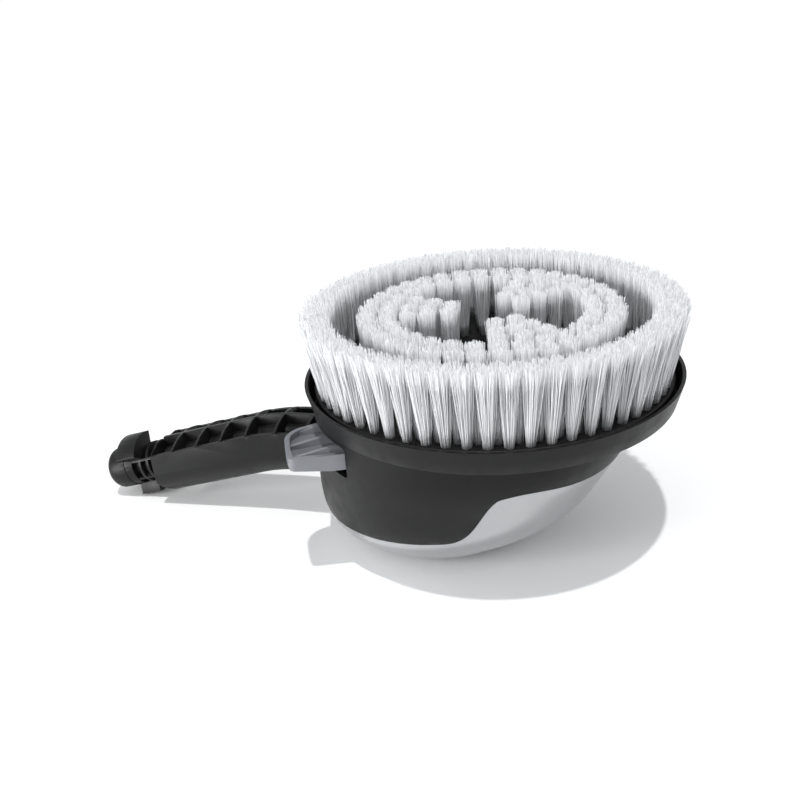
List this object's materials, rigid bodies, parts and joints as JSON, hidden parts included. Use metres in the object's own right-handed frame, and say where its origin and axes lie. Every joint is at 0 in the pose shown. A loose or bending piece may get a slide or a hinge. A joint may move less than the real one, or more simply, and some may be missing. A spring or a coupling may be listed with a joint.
{
  "type": "rotary wash brush",
  "caption": "Round water-driven wash brush attachment for a pressure washer, with a ribbed handle, bayonet inlet, grey back cover and brush release lever, lying bristles up.",
  "frame": {"origin": "on the brush's spin axis, at the level of the flat resting face of the back cover", "axes": "+Z along the brush's spin axis, out of the bristles; -X towards the handle and its water inlet; the X-Z plane halves the housing and the handle, with the release lever on the -Y side"},
  "size_m": [0.3482, 0.199, 0.1366],
  "materials": {
    "black_plastic": "satin",
    "grey_plastic": "semi-gloss",
    "lever_plastic": "satin",
    "gear_case": "matt",
    "gear_plastic": "satin",
    "plate_plastic": "satin",
    "pipe_plastic": "matt",
    "bristle": "matt",
    "steel": "bright",
    "brass": "turned",
    "rubber": "matt"
  },
  "bodies": {
    "body": {"back_cover": "grey_plastic", "bayonet_connector": "black_plastic", "column_screws": "steel", "deck_screws": "steel", "feed_pipe": "pipe_plastic", "gearbox_base": "gear_case", "gearbox_cover": "gear_case", "handle": "black_plastic", "housing_shell": "black_plastic", "inlet_nipple": "brass", "inlet_o_ring": "rubber", "inlet_strainer": "steel", "intermediate_pin": "steel", "jet_nozzle": "brass", "lever_pin": "steel", "lever_spring": "steel", "output_bushes": "brass", "shaft_seal": "rubber", "splash_deck": "black_plastic", "turbine_bushes": "brass", "turbine_chamber": "gear_case"},
    "turbine": {"turbine_wheel": "gear_plastic", "turbine_shaft": "steel", "turbine_pinion": "gear_plastic"},
    "intermediate": {"intermediate_gear": "gear_plastic"},
    "drive": {"output_gear": "gear_plastic", "output_shaft": "steel", "drive_hub": "gear_plastic", "hub_screw": "steel", "hub_grip_ring": "rubber"},
    "brush": {"brush_plate": "plate_plastic", "outer_tufts_row_1": "bristle", "outer_tufts_row_2": "bristle", "inner_tufts_row_1": "bristle", "inner_tufts_row_2": "bristle", "blade_tufts": "bristle"},
    "ejector": {"ejector_ring": "lever_plastic"},
    "lever": {"release_lever": "lever_plastic"}
  },
  "joints": [
    {"name": "hub_spin", "type": "hinge", "parent": "body", "child": "drive", "pos_m": [0, 0, 0.07], "axis": [0, 0, 1], "continuous": true},
    {"name": "turbine_spin", "type": "hinge", "parent": "body", "child": "turbine", "pos_m": [-0.036, 0, 0.03], "axis": [0, 0, 1], "continuous": true},
    {"name": "intermediate_spin", "type": "hinge", "parent": "body", "child": "intermediate", "pos_m": [-0.018, 0.03146, 0.045], "axis": [0, 0, 1], "continuous": true},
    {"name": "lever_press", "type": "hinge", "parent": "body", "child": "lever", "pos_m": [-0.04193, -0.02723, 0.072], "axis": [0.5446, -0.8387, 0], "range_deg": [0, 5], "stiffness_Nm_per_rad": 4, "springref_deg": -6.88, "deforming": ["lever_spring"]},
    {"name": "ejector_lift", "type": "slide", "parent": "body", "child": "ejector", "axis": [0, 0, 1], "range_m": [0, 0.0044]},
    {"name": "brush_lift", "type": "slide", "parent": "drive", "child": "brush", "axis": [0, 0, 1], "range_m": [0, 0.0043]}
  ],
  "couplings": [
    {"joint": "turbine_spin", "follows": "hub_spin", "ratio": 9.8776},
    {"joint": "intermediate_spin", "follows": "hub_spin", "ratio": -3.1429},
    {"joint": "ejector_lift", "follows": "brush_lift", "ratio": 1},
    {"joint": "lever_press", "follows": "brush_lift", "rad_per_m": 20}
  ]
}
